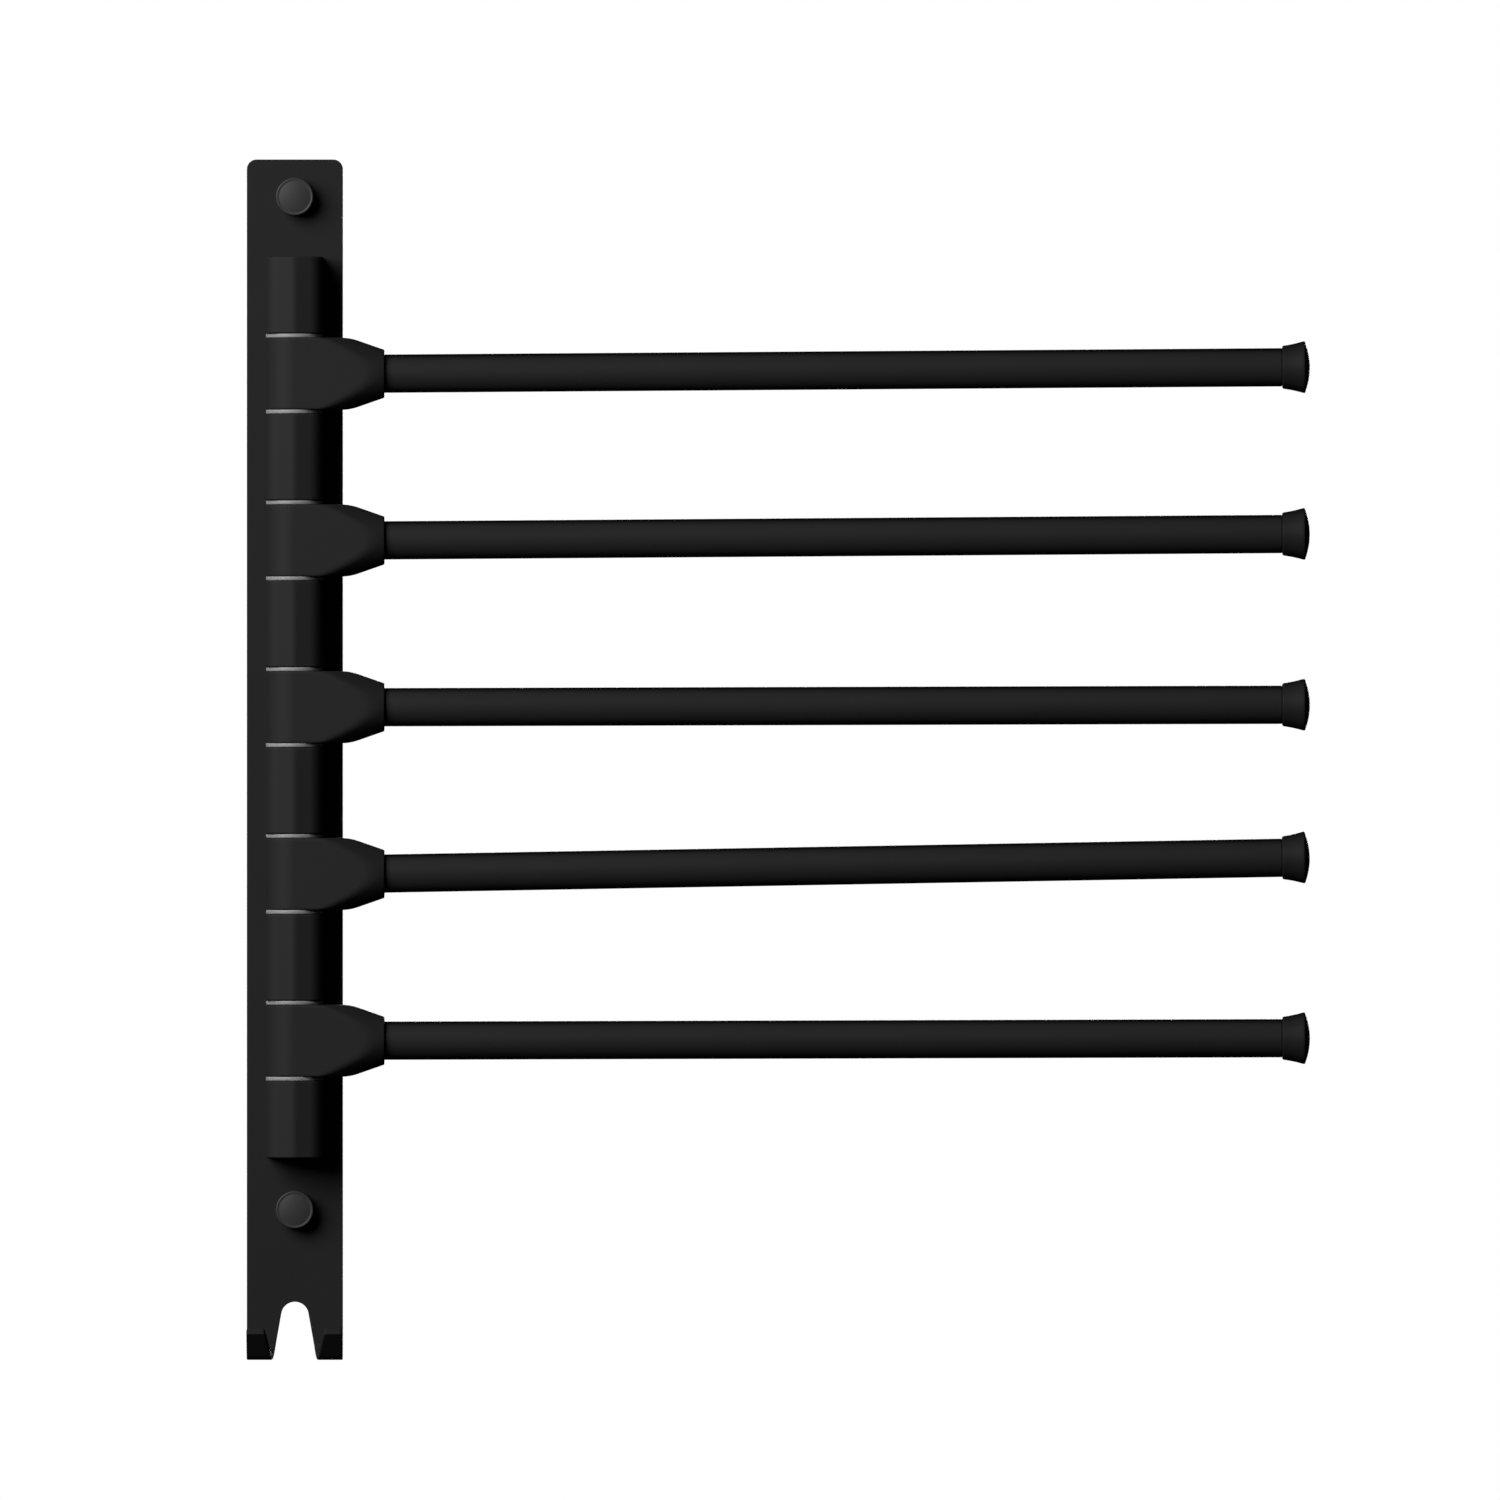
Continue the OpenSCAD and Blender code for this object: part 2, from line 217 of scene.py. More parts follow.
class RackStage(bpy.types.PropertyGroup):
    """Camera, light and floor"""

    distance: FloatProperty(
        name="Distance", description="From the camera to the wall",
        default=12, min=2, max=30, subtype="DISTANCE", unit="LENGTH")
    view_width: millimetres(
        "View width", "Width that the camera takes in", 468.75, 300, 900)
    centre: FloatVectorProperty(
        name="Centre", description="Point of the wall in the middle of the view",
        default=(0.1422, 0, -0.0146), size=3, subtype="TRANSLATION", unit="LENGTH")
    floor_drop: FloatProperty(
        name="Floor drop", description="From the foot of the plate to the floor",
        default=0.3, min=0.05, max=2, subtype="DISTANCE", unit="LENGTH")
    key_power: FloatProperty(
        name="Key light", description="Power of the light from the front left",
        default=45, min=0, max=5000, subtype="POWER", unit="POWER")
    back_power: FloatProperty(
        name="Back light", description="Power of the light behind the wall plane",
        default=160, min=0, max=5000, subtype="POWER", unit="POWER")
    fill: FloatProperty(
        name="Fill", description="Strength of the even light from all round",
        default=0.012, min=0, max=1)


# ---------------------------------------------------------------- mesh tools

def finished(bm, name, material, body, nodes):
    """Makes a piece of bm, shades it and places it on its CAD body."""
    bmesh.ops.remove_doubles(bm, verts=bm.verts, dist=WELD)
    bmesh.ops.recalc_face_normals(bm, faces=bm.faces)
    for face in bm.faces:
        face.smooth = True
    for edge in bm.edges:
        edge.smooth = len(edge.link_faces) == 2 and edge.calc_face_angle() < SHARP
    mesh = bpy.data.meshes.new(name)
    bm.to_mesh(mesh)
    bm.free()
    piece = bpy.data.objects.new(name, mesh)
    bpy.context.scene.collection.objects.link(piece)
    mesh.materials.append(bpy.data.materials[material])
    weigh = piece.modifiers.new("Flat faces stay flat", "WEIGHTED_NORMAL")
    weigh.keep_sharp = True
    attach(piece, body)
    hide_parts(*nodes)
    return piece


def wire(bm, points, closed):
    """Vertices and edges along points."""
    verts = [bm.verts.new(point) for point in points]
    pairs = list(zip(verts, verts[1:]))
    if closed:
        pairs.append((verts[-1], verts[0]))
    return verts, [bm.edges.new(pair) for pair in pairs]


def turned(profile, closed, sides=ROUND):
    """A piece turned about Z from a profile of (radius, height) points."""
    bm = bmesh.new()
    verts, edges = wire(bm, [(r, 0, z) for r, z in profile], closed)
    bmesh.ops.spin(
        bm, geom=verts + edges, axis=(0, 0, 1), cent=(0, 0, 0),
        angle=2 * pi, steps=sides, use_merge=True)
    bmesh.ops.remove_doubles(bm, verts=bm.verts, dist=WELD)
    return bm


def arc(centre, radius, start, end, steps):
    """Points of an arc in a plane, from one angle to another."""
    return [
        (centre[0] + radius * cos(start + (end - start) * k / steps),
         centre[1] + radius * sin(start + (end - start) * k / steps))
        for k in range(steps + 1)]


def extruded(outline, lift):
    """A closed prism: a flat outline of 3D points, and the way to lift it."""
    bm = bmesh.new()
    _, rim = wire(bm, outline, True)
    bmesh.ops.contextual_create(bm, geom=rim)
    made = bmesh.ops.extrude_face_region(bm, geom=bm.faces[:])["geom"]
    bmesh.ops.translate(
        bm, verts=[g for g in made if isinstance(g, bmesh.types.BMVert)], vec=lift)
    bmesh.ops.recalc_face_normals(bm, faces=bm.faces)
    return bm


def round_ends(bm, direction, offset):
    """Rounds the edges round a prism's two ends."""
    ends = [f for f in bm.faces if abs(f.normal.dot(direction)) > ALONG]
    bmesh.ops.bevel(
        bm, geom=list({e for f in ends for e in f.edges}), offset=offset,
        offset_type="OFFSET", segments=3, profile=0.5, affect="EDGES",
        clamp_overlap=True, material=-1)


def ring(bm, radius, place, sides=FINE):
    """A circle of edges, moved and turned by a matrix."""
    made = bmesh.ops.create_circle(
        bm, cap_ends=False, radius=radius, segments=sides, matrix=place)
    return list({e for v in made["verts"] for e in v.link_edges})


def sink(bm, direction, end, holes):
    """Sinks holes through or into a prism.

    end(face) tells which end a flat face is, 0 or 1, and each hole is a list of
    (radius, matrix) from end 0 to end 1, and which ends it opens at.
    """
    flat = [
        f for f in bm.faces
        if abs(f.normal.dot(direction)) > ALONG and f.calc_area() > END_AREA]
    rims = {end(face): list(face.edges) for face in flat}
    bmesh.ops.delete(bm, geom=flat, context="FACES_ONLY")
    mouths = {0: [], 1: []}
    for steps, open_ends in holes:
        loops = [ring(bm, radius, place) for radius, place in steps]
        for one, two in zip(loops, loops[1:]):
            bmesh.ops.bridge_loops(bm, edges=one + two)
        for side, loop in ((0, loops[0]), (1, loops[-1])):
            if side in open_ends:
                mouths[side] += loop
            else:
                bmesh.ops.contextual_create(bm, geom=loop)
    for side, rim in rims.items():
        bmesh.ops.triangle_fill(
            bm, use_beauty=True, use_dissolve=False, edges=rim + mouths[side])


def drilled(bm, cutter):
    """bm with the closed shape of cutter taken out of it."""
    made = []
    for name, source in (("to_drill", bm), ("drill", cutter)):
        bmesh.ops.recalc_face_normals(source, faces=source.faces)
        mesh = bpy.data.meshes.new(name)
        source.to_mesh(mesh)
        source.free()
        made.append(bpy.data.objects.new(name, mesh))
        bpy.context.scene.collection.objects.link(made[-1])
    work, drill = made
    cut = work.modifiers.new("Cut", "BOOLEAN")
    cut.operation = "DIFFERENCE"
    cut.solver = "EXACT"
    cut.object = drill
    depsgraph = bpy.context.evaluated_depsgraph_get()
    result = bmesh.new()
    result.from_object(work, depsgraph)
    for thing in made:
        mesh = thing.data
        bpy.data.objects.remove(thing)
        bpy.data.meshes.remove(mesh)
    return result


# ---------------------------------------------------------------- materials

def group(name, inputs, outputs):
    """A new shader node group with named inputs and outputs."""
    tree = bpy.data.node_groups.new(name, "ShaderNodeTree")
    for socket, value in inputs:
        made = tree.interface.new_socket(
            socket, in_out="INPUT", socket_type="NodeSocketFloat")
        made.default_value = value
    for socket, kind in outputs:
        tree.interface.new_socket(
            socket, in_out="OUTPUT", socket_type="NodeSocket" + kind)
    return tree, tree.nodes.new("NodeGroupInput"), tree.nodes.new("NodeGroupOutput")


def node(tree, kind, links=(), **settings):
    """A node of a tree, with its settings, and its inputs linked or set."""
    made = tree.nodes.new("ShaderNode" + kind)
    for key, value in settings.items():
        setattr(made, key, value)
    for socket, source in dict(links).items():
        if isinstance(source, bpy.types.NodeSocket):
            tree.links.new(source, made.inputs[socket])
        else:
            made.inputs[socket].default_value = source
    return made


def grain_group():
    """Fine raised grain of a powder coat or a moulding, with a slow tone change."""
    tree, start, end = group(
        "Grain",
        [("Grain size", 0.4 * MM), ("Height", 1), ("Depth", 0.01 * MM), ("Mottle", 0.1)],
        [("Normal", "Vector"), ("Tone", "Float"), ("Speck", "Float")])
    place = node(tree, "TexCoord").outputs["Object"]
    scale = node(tree, "Math", {0: 1.0, 1: start.outputs["Grain size"]},
                 operation="DIVIDE").outputs[0]
    fine = node(tree, "TexNoise", {
        "Vector": place, "Scale": scale, "Detail": 3.0, "Roughness": 0.55})
    slow = node(tree, "TexNoise", {"Vector": place, "Scale": 38.0, "Detail": 2.0})
    bump = node(tree, "Bump", {
        "Strength": start.outputs["Height"], "Distance": start.outputs["Depth"],
        "Height": fine.outputs["Fac"]})
    centred = node(tree, "Math", {0: slow.outputs["Fac"], 1: 0.5},
                   operation="SUBTRACT").outputs[0]
    tone = node(tree, "Math", {
        0: centred, 1: start.outputs["Mottle"], 2: 1.0}, operation="MULTIPLY_ADD")
    tree.links.new(bump.outputs["Normal"], end.inputs["Normal"])
    tree.links.new(tone.outputs[0], end.inputs["Tone"])
    tree.links.new(fine.outputs["Fac"], end.inputs["Speck"])


def edge_sheen_group():
    """A painted highlight mask that is bright along outer edges, broken up by noise."""
    tree, start, end = group(
        "Painted edge sheen", [("Width", 0.5 * MM), ("Amount", 0.5)], [("Mask", "Float")])
    round_normal = node(tree, "Bevel", {"Radius": start.outputs["Width"]}, samples=6)
    true_normal = node(tree, "NewGeometry").outputs["True Normal"]
    facing = node(tree, "VectorMath", {
        0: round_normal.outputs["Normal"], 1: true_normal}, operation="DOT_PRODUCT")
    turn = node(tree, "MapRange", {
        "Value": facing.outputs["Value"], "From Min": 0.985, "From Max": 0.86,
        "To Min": 0.0, "To Max": 1.0}, clamp=True)
    place = node(tree, "TexCoord").outputs["Object"]
    patches = node(tree, "TexNoise", {"Vector": place, "Scale": 260.0, "Detail": 4.0})
    broken = node(tree, "MapRange", {
        "Value": patches.outputs["Fac"], "From Min": 0.35, "From Max": 0.65,
        "To Min": 0.35, "To Max": 1.0}, clamp=True)
    sheen_part = node(tree, "Math", {0: turn.outputs[0], 1: broken.outputs[0]},
                operation="MULTIPLY")
    mask = node(tree, "Math", {0: sheen_part.outputs[0], 1: start.outputs["Amount"]},
                operation="MULTIPLY")
    tree.links.new(mask.outputs[0], end.inputs["Mask"])


def placed(tree, name, values):
    """A node group in a material, with its own values."""
    made = tree.nodes.new("ShaderNodeGroup")
    made.node_tree = bpy.data.node_groups[name]
    for socket, value in values.items():
        made.inputs[socket].default_value = value
    return made


def coated(name, base, roughness, grain, edge_sheen, metallic=0.0, specular=0.5, depth=0.0):
    """The shader of a finish with grain, slow mottling and a painted highlight along its edges.

    depth is how much of the colour goes where the surface turns from the eye: a painted shade
    that darkens the rims seen edge-on.
    """
    material = bpy.data.materials.new(name)
    material.use_nodes = True
    tree = material.node_tree
    shader = tree.nodes["Principled BSDF"]
    shader.inputs["Metallic"].default_value = metallic
    shader.inputs["Specular IOR Level"].default_value = specular
    surface = placed(tree, "Grain", grain)
    edges = placed(tree, "Painted edge sheen", edge_sheen)
    tinted = node(tree, "VectorMath", {
        0: tuple(base), "Scale": surface.outputs["Tone"]}, operation="SCALE")
    # Painted highlight: the edges are lightened in the colour, as a sheen
    sheen_colour = tuple(min(1, 1.2 * c + 0.02) for c in base)
    sheen_part = node(tree, "VectorMath", {0: sheen_colour, "Scale": edges.outputs["Mask"]},
                operation="SCALE")
    both = node(tree, "VectorMath", {
        0: tinted.outputs["Vector"], 1: sheen_part.outputs["Vector"]}, operation="ADD")
    colour_out = both.outputs["Vector"]
    if depth:
        # Painted shade: the colour darkens towards the rims that turn from the eye
        facing = node(tree, "LayerWeight", {"Blend": 0.5}).outputs["Facing"]
        painted_rim_shade = node(tree, "MapRange", {
            "Value": facing, "From Min": 0.22, "From Max": 0.72,
            "To Min": 1.0, "To Max": 1.0 - depth},
            interpolation_type="SMOOTHSTEP").outputs[0]
        colour_out = node(tree, "VectorMath", {0: colour_out, "Scale": painted_rim_shade},
                          operation="SCALE").outputs["Vector"]
    tree.links.new(colour_out, shader.inputs["Base Color"])
    rough = node(tree, "MapRange", {
        "Value": surface.outputs["Speck"], "From Min": 0.2, "From Max": 0.8,
        "To Min": roughness - 0.05, "To Max": roughness + 0.05})
    tree.links.new(rough.outputs[0], shader.inputs["Roughness"])
    tree.links.new(surface.outputs["Normal"], shader.inputs["Normal"])
    return shader


def make_materials(finish):
    """Every finish on the rack."""
    grain_group()
    edge_sheen_group()
    powder = {"Grain size": 0.45 * MM, "Height": 0.7, "Depth": 0.02 * MM, "Mottle": 0.12}
    blasted = {"Grain size": 0.25 * MM, "Height": 0.6, "Depth": 0.01 * MM, "Mottle": 0.08}
    moulded = {"Grain size": 0.35 * MM, "Height": 0.5, "Depth": 0.008 * MM, "Mottle": 0.05}
    # Strengths of the painted edge highlight
    slight = {"Width": 0.4 * MM, "Amount": 0.25}
    faint = {"Width": 0.3 * MM, "Amount": 0.1}
    coated("plate_powder_coat", finish.plate, 0.68, powder, slight, specular=0.15)
    coated("column_anodised", finish.column, 0.66, blasted, slight, specular=0.15)
    # depth on the bars and caps paints shade on their rims seen edge-on
    coated("bar_powder_coat", finish.bars, 0.62, powder, faint, specular=0.1, depth=0.95)
    coated("cap_moulding", finish.caps, 0.62, moulded, slight, specular=0.12, depth=0.5)
    coated("cover_satin", finish.covers, 0.5, blasted, slight, specular=0.3)
    nylon = coated("bush_nylon", finish.bushes, 0.5, moulded, faint)
    nylon.inputs["Subsurface Weight"].default_value = 0.7
    nylon.inputs["Subsurface Radius"].default_value = (1, 1, 1)
    nylon.inputs["Subsurface Scale"].default_value = 3 * MM
    coated("ground_steel", finish.steel, 0.35, blasted, faint, metallic=1.0)


# ---------------------------------------------------------------- the pieces

class RACK_OT_back_plate(bpy.types.Operator):
    """Cut the back plate flat, then bend its foot into two hooks"""
    bl_idname = "towel_rack.back_plate"
    bl_label = "Back Plate"

    def execute(self, context):
        sizes = context.scene.rack_sizes
        bend_z = PLATE_LOW.z + sizes.hook_radius + PLATE_T
        bend_length = (sizes.hook_radius + PLATE_T / 2) * sizes.hook_turn
        outline = plate_outline(sizes, bend_z - bend_length - sizes.hook_leg)
        front = Vector((0, -PLATE_T, 0))
        bm = extruded([(x, 0, z) for x, z in outline], front)
        round_ends(bm, Vector((0, 1, 0)), sizes.edge_break)
        sink(bm, Vector((0, 1, 0)),
             lambda face: int(face.calc_center_median().y < -PLATE_T / 2),
             plate_holes(sizes))
        cuts = 28                  # rows of edges across the bend
        for k in range(cuts + 1):
            bmesh.ops.bisect_plane(
                bm, geom=bm.verts[:] + bm.edges[:] + bm.faces[:],
                plane_co=(0, 0, bend_z - bend_length * k / cuts),
                plane_no=(0, 0, 1), dist=0.001 * MM)
        for vert in bm.verts:
            if vert.co.z < bend_z:
                vert.co = bent(vert.co, bend_z, sizes)
        finished(bm, "rack_back_plate", "plate_powder_coat", "rack",
                 ["back_plate"])
        return {"FINISHED"}


def plate_outline(sizes, foot_z):
    """The plate's flat outline as (x, z) points, with its foot not yet bent."""
    half = PLATE_HIGH.x
    top = PLATE_HIGH.z
    r = sizes.corner
    tip_r = 0.8 * MM
    notch_r = sizes.notch_top / 2
    round_z = PLATE_LOW.z + sizes.notch_height - notch_r
    drop = round_z - PLATE_LOW.z
    span = hypot(sizes.notch_bottom / 2, drop)
    taper = acos(notch_r / span) - atan2(drop, sizes.notch_bottom / 2)
    tip_in = sizes.notch_bottom / 2 - (foot_z + tip_r - PLATE_LOW.z) * tan(taper)
    right = arc((half - r, top - r), r, pi / 2, 0, 10)
    right += arc((half - tip_r, foot_z + tip_r), tip_r, 0, -pi / 2, 5)
    right += arc((tip_in + tip_r / cos(taper), foot_z + tip_r), tip_r,
                 -pi / 2, taper - pi, 5)
    right += arc((0, round_z), notch_r, taper, pi / 2, 14)
    return right + [(-x, z) for x, z in reversed(right[:-1])]


def plate_holes(sizes):
    """The wall holes, and the countersunk holes of the block screws."""
    def hole(centre_z, steps):
        return [(r, Matrix.Translation((0, y, centre_z)) @ Z_TO_FRONT)
                for r, y in steps], (0, 1)

    wall_r = sizes.wall_hole / 2
    edge = 0.25 * MM
    wall = [(wall_r + edge, 0), (wall_r, -edge), (wall_r, edge - PLATE_T),
            (wall_r + edge, -PLATE_T)]
    head_r = sizes.screw_head / 2 + 0.05 * MM
    shank_r = sizes.screw / 2 + 0.2 * MM
    sunk = [(head_r, 0), (head_r, -HEAD_RECESS),
            (shank_r, shank_r - head_r - HEAD_RECESS), (shank_r, -PLATE_T)]
    covers = [middle(n).z for n in ("screw_cover_upper", "screw_cover_lower")]
    return [hole(z, wall) for z in covers] + [hole(z, sunk) for z in screw_heights()]


def screw_heights():
    """The height of every screw that holds a block to the plate."""
    heights = sorted(v.co.z for v in frame["nodes"]["block_screws"].data.vertices)
    groups = [[heights[0]]]
    for z in heights[1:]:
        if z - groups[-1][-1] > 2 * MM:
            groups.append([])
        groups[-1].append(z)
    return [(g[0] + g[-1]) / 2 for g in groups]


def bent(point, bend_z, sizes):
    """Where a point of the flat plate's foot goes when the hooks are bent."""
    middle_r = sizes.hook_radius + PLATE_T / 2
    radius = sizes.hook_radius + PLATE_T + point.y
    run = bend_z - point.z
    angle = min(run / middle_r, sizes.hook_turn)
    straight = run - angle * middle_r
    y = -PLATE_T - sizes.hook_radius + radius * cos(angle) - straight * sin(angle)
    z = bend_z - radius * sin(angle) - straight * cos(angle)
    return Vector((point.x, y, z))


class RACK_OT_blocks(bpy.types.Operator):
    """Extrude the end blocks and spacers that carry the rod"""
    bl_idname = "towel_rack.blocks"
    bl_label = "Blocks and Spacers"

    def execute(self, context):
        sizes = context.scene.rack_sizes
        rod = middle("pivot_rod")
        rod_low, rod_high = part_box("pivot_rod")
        up = Vector((0, 0, 1))
        for name in ["top_block", "bottom_block"] + numbered("spacer"):
            low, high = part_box(name)
            section = block_section(low, high, sizes)
            bm = extruded([(x, y, low.z) for x, y in section], up * (high.z - low.z))
            round_ends(bm, up, sizes.block_edge)
            bore = [max(low.z, rod_low.z), min(high.z, rod_high.z)]
            open_ends = [side for side, z in enumerate(bore) if z in (low.z, high.z)]
            sink(bm, up, lambda face: int(face.calc_center_median().z > middle(name).z),
                 [([(ROD_RADIUS + 0.02 * MM, Matrix.Translation((0, rod.y, z)))
                    for z in bore], open_ends)])
            finished(bm, "rack_" + name, "column_anodised", "rack", [name])
        return {"FINISHED"}


def block_section(low, high, sizes):
    """Outline of a block's section, between the corners of its box."""
    foot, ridge, corner = sizes.block_edge, sizes.block_ridge, sizes.block_corner
    front, slope = 1.5 * pi, sizes.block_slope
    side = high.x - corner
    ridge_y = low.y + ridge
    corner_y = ridge_y + (corner - ridge + side * sin(slope)) / cos(slope)
    return (
        arc((-side, corner_y), corner, pi, front - slope, 20)
        + arc((0, ridge_y), ridge, front - slope, front + slope, 8)
        + arc((side, corner_y), corner, front + slope, 2 * pi, 20)
        + arc((high.x - foot, high.y - foot), foot, 0, pi / 2, 4)
        + arc((foot - high.x, high.y - foot), foot, pi / 2, pi, 4))


class RACK_OT_hubs(bpy.types.Operator):
    """Wrap the hubs, round about the rod and conical towards the bar"""
    bl_idname = "towel_rack.hubs"
    bl_label = "Swivel Hubs"

    def execute(self, context):
        sizes = context.scene.rack_sizes
        rings = hub_rings(sizes)
        for i in ARMS:
            pivot = PIVOTS[f"arm_{i}"]
            bm = wrapped(rings + socket_rings(i, rings[-1], sizes))
            bmesh.ops.translate(bm, verts=bm.verts, vec=pivot)
            low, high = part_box(f"hub_{i}")
            bore = turned(
                [(0, low.z - MM), (BUSH_RADIUS, low.z - MM),
                 (BUSH_RADIUS, high.z + MM), (0, high.z + MM)], False, FINE)
            bmesh.ops.translate(bore, verts=bore.verts, vec=(pivot.x, pivot.y, 0))
            finished(drilled(bm, bore), f"rack_hub_{i}", "column_anodised",
                     f"arm_{i}", [f"hub_{i}"])
        return {"FINISHED"}


def hub_rings(sizes):
    """Rings of points round a hub, from its round end to the nose's rim."""
    pivot = PIVOTS["arm_1"]
    low, high = (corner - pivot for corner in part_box("hub_1"))
    nose_r = arm_axis(1)[3] + sizes.nose_wall
    soft = sizes.hub_edge
    rim = 0.4 * soft

    def outside(x, y, z):
        """Negative inside the hub, with soft joins between its faces."""
        side = hypot(min(x, 0), y) - high.y
        ends = soft_max(side, abs(z) - high.z, soft)
        cone = hypot(y, z) - nose_r - (high.x - x) * tan(sizes.nose_slope)
        return soft_max(ends, soft_max(cone, x - high.x, rim), sizes.cone_blend)

    turns, steps, lips = 22, 46, 5     # rings on the round end, the nose, its rim
    stations = [low.x * cos(k * pi / 2 / turns) for k in range(1, turns)]
    stations += [(high.x - rim) * k / steps for k in range(steps)]
    stations += [high.x - rim * (1 - k / lips) ** 2 for k in range(lips)]
    stations.append(high.x - 0.0001 * MM)
    return [hub_ring(x, outside, high.y + high.z) for x in stations]


def hub_ring(x, outside, reach):
    """Points where a hub's surface crosses a plane across the bar's axis.

    They lie closer together where the outline turns, and repeat in each quarter.
    """
    fine, shares = 200, 32             # points tried, and points kept, in a quarter
    turn_pull = 2.2 * MM               # a turn of one radian counts as this length
    quarter = []
    for k in range(fine + 1):
        angle = k * pi / 2 / fine
        near, far = 0.0, reach
        for _ in range(26):
            r = (near + far) / 2
            if outside(x, r * cos(angle), r * sin(angle)) < 0:
                near = r
            else:
                far = r
        quarter.append(Vector((near * cos(angle), near * sin(angle))))
    weights = [0.0]
    for k in range(fine):
        step = quarter[k + 1] - quarter[k]
        turn = 0
        if 0 < k:
            before = quarter[k] - quarter[k - 1]
            if step.length > 0 and before.length > 0:
                turn = step.angle(before)
        weights.append(weights[-1] + step.length + turn_pull * turn)
    picked = []
    k = 0
    for share in range(shares + 1):
        goal = weights[-1] * share / shares
        while k < fine - 1 and weights[k + 1] < goal:
            k += 1
        gap = weights[k + 1] - weights[k]
        part = (goal - weights[k]) / gap if gap > 0 else 0
        picked.append(quarter[k].lerp(quarter[k + 1], min(max(part, 0), 1)))
    full = picked[:-1]
    full += [Vector((-p.x, p.y)) for p in reversed(picked)][:-1]
    full += [-p for p in picked][:-1]
    full += [Vector((p.x, -p.y)) for p in reversed(picked)][:-1]
    return [Vector((x, p.x, p.y)) for p in full]


def socket_rings(i, rim, sizes):
    """Rings from a hub's nose into its socket, which tilts with the bar."""
    centre, tilt, length, bar_r = arm_axis(i)
    axis = Vector((cos(tilt), 0, sin(tilt)))
    start = centre - PIVOTS[f"arm_{i}"] - axis * length / 2
    mouth = start + axis * ((rim[0].x - start.x) / axis.x)
    bore = bar_r + 0.03 * MM
    edge = 0.15 * MM
    rings = []
    for origin, radius in ((mouth, bore + edge), (mouth - axis * edge, bore), (start, bore)):
        points = []
        for p in rim:
            out = Vector((0, p.y, p.z)).normalized()
            out = (out - axis * out.dot(axis)).normalized()
            points.append(origin + out * radius)
        rings.append(points)
    return rings


def soft_max(a, b, width):
    """The larger of a and b, rounded where they are within width of each other."""
    gap = max(width - abs(a - b), 0) / width
    return max(a, b) + gap * gap * width / 4


def wrapped(rings):
    """A grid wrapped into a closed skin through rings of points."""
    rows, sides = len(rings), len(rings[0])
    bm = bmesh.new()
    bmesh.ops.create_grid(bm, x_segments=rows - 1, y_segments=sides, size=1)
    for vert in bm.verts:
        row = round((vert.co.x + 1) / 2 * (rows - 1))
        side = round((vert.co.y + 1) / 2 * sides)
        vert.co = rings[row][side % sides]
    bmesh.ops.remove_doubles(bm, verts=bm.verts, dist=WELD)
    bmesh.ops.holes_fill(bm, edges=[e for e in bm.edges if e.is_boundary], sides=0)
    bmesh.ops.recalc_face_normals(bm, faces=bm.faces)
    return bm


class RACK_OT_bushes(bpy.types.Operator):
    """Turn the flanged bushes above and below each hub"""
    bl_idname = "towel_rack.bushes"
    bl_label = "Bushes"

    def execute(self, context):
        sizes = context.scene.rack_sizes
        for i in ARMS:
            for side, way in (("upper", 1), ("lower", -1)):
                name = f"{side}_bush_{i}"
                pivot = PIVOTS[f"arm_{i}"]
                low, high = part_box(name)
                heights = sorted(way * (z - pivot.z) for z in (low.z, high.z))
                bm = turned(bush_profile(*heights, high.x, sizes), True)
                bmesh.ops.scale(bm, verts=bm.verts, vec=(1, 1, way))
                bmesh.ops.translate(bm, verts=bm.verts, vec=pivot)
                finished(bm, "rack_" + name, "bush_nylon", f"arm_{i}", [name])
        return {"FINISHED"}


def bush_profile(bottom, top, flange_r, sizes):
    """A bush's section: the sleeve in the hub, and the flange on top of it."""
    bore = ROD_RADIUS + 0.05 * MM
    edge = 0.25 * MM
    seat = top - sizes.flange
    profile = [
        (bore + edge, bottom), (BUSH_RADIUS - edge, bottom),
        (BUSH_RADIUS, bottom + edge), (BUSH_RADIUS, seat), (flange_r - edge, seat)]
    profile += arc((flange_r - edge, seat + edge), edge, -pi / 2, 0, 4)
    profile += arc((flange_r - edge, top - edge), edge, 0, pi / 2, 4)
    return profile + [(bore + edge, top), (bore, top - edge), (bore, bottom + edge)]


class RACK_OT_bars(bpy.types.Operator):
    """Turn the tubular bars"""
    bl_idname = "towel_rack.bars"
    bl_label = "Bars"

    def execute(self, context):
        sizes = context.scene.rack_sizes
        edge = 0.2 * MM
        for i in ARMS:
            _, _, length, bar_r = arm_axis(i)
            bore = bar_r - sizes.bar_wall
            half = length / 2
            bm = turned([
                (bore, -half), (bar_r - edge, -half), (bar_r, edge - half),
                (bar_r, -half / 3), (bar_r, half / 3), (bar_r, half - edge),
                (bar_r - edge, half), (bore, half), (bore, 0)], True)
            bmesh.ops.transform(bm, matrix=along_bar(i, 0), verts=bm.verts)
            finished(bm, f"rack_bar_{i}", "bar_powder_coat", f"arm_{i}",
                     [f"bar_{i}"])
        return {"FINISHED"}


class RACK_OT_end_caps(bpy.types.Operator):
    """Turn the flared and domed end caps"""
    bl_idname = "towel_rack.end_caps"
    bl_label = "End Caps"

    def execute(self, context):
        sizes = context.scene.rack_sizes
        for i in ARMS:
            _, _, length, bar_r = arm_axis(i)
            bm = turned(cap_profile(i, bar_r, sizes), False)
            bmesh.ops.transform(bm, matrix=along_bar(i, length / 2), verts=bm.verts)
            finished(bm, f"rack_end_cap_{i}", "cap_moulding", f"arm_{i}",
                     [f"end_cap_{i}"])
        return {"FINISHED"}


